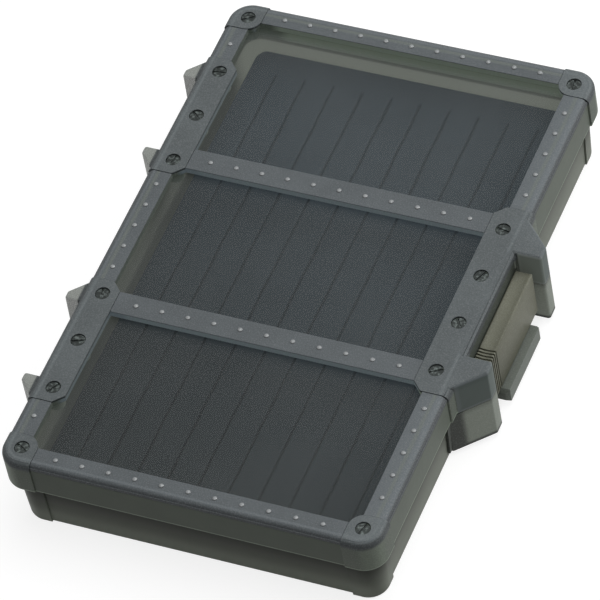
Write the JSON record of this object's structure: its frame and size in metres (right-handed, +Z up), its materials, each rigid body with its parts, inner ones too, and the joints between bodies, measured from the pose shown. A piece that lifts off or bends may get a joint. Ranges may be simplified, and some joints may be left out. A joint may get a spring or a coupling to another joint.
{
  "type": "fly box",
  "caption": "Flat fishing fly box: drafted tray with a slit foam mat, hinged lid with clear windows in a riveted lattice frame, corner guards and a sliding side latch.",
  "frame": {"origin": "centre of the flat face under the base, where the case rests", "axes": "+X from the hinge wall to the latch wall, +Y along the case's length, +Z up through the lid"},
  "size_m": [0.1578, 0.2232, 0.036],
  "materials": {
    "smoked_plastic": "translucent smoked plastic, satin",
    "frame_plastic": "fine-grained matte",
    "plate_plastic": "fine-grained matte, translucent at its edges",
    "window_plastic": "clear, faintly smoked",
    "foam": "closed-cell foam, finely pored",
    "seal_rubber": "matte",
    "latch_plastic": "warm grey, satin",
    "rivet_metal": "satin",
    "screw_metal": "grey, satin, with bright edges",
    "pin_steel": "satin"
  },
  "bodies": {
    "base": {"base_shell": "smoked_plastic", "base_foam": "foam", "base_guard_far_latch": "smoked_plastic", "base_guard_far_hinge": "smoked_plastic", "base_guard_near_hinge": "smoked_plastic", "base_guard_near_latch": "smoked_plastic", "latch_keeper": "smoked_plastic", "hinge_knuckle_far": "smoked_plastic", "hinge_knuckle_near": "smoked_plastic", "hinge_pin_far": "pin_steel", "hinge_pin_near": "pin_steel"},
    "lid": {"lid_shell": "smoked_plastic", "lid_frame": "frame_plastic", "window_far": "window_plastic", "window_middle": "window_plastic", "window_near": "window_plastic", "rim_seal": "seal_rubber", "lid_guard_far_latch": "plate_plastic", "lid_guard_far_hinge": "plate_plastic", "lid_guard_near_hinge": "plate_plastic", "lid_guard_near_latch": "plate_plastic", "hinge_plate_far": "plate_plastic", "hinge_plate_near": "plate_plastic", "latch_plate": "plate_plastic", "frame_rivets": "rivet_metal", "guard_screws": "screw_metal", "hinge_plate_screws": "screw_metal", "latch_plate_screws": "screw_metal"},
    "latch": {"latch": "latch_plastic"}
  },
  "joints": [
    {"name": "lid_hinge", "type": "hinge", "parent": "base", "child": "lid", "pos_m": [-0.0744, 0, 0.021], "axis": [0, -1, 0], "range_deg": [0, 180]},
    {"name": "latch_slide", "type": "slide", "parent": "lid", "child": "latch", "axis": [0, 1, 0], "range_m": [0, 0.002]}
  ]
}
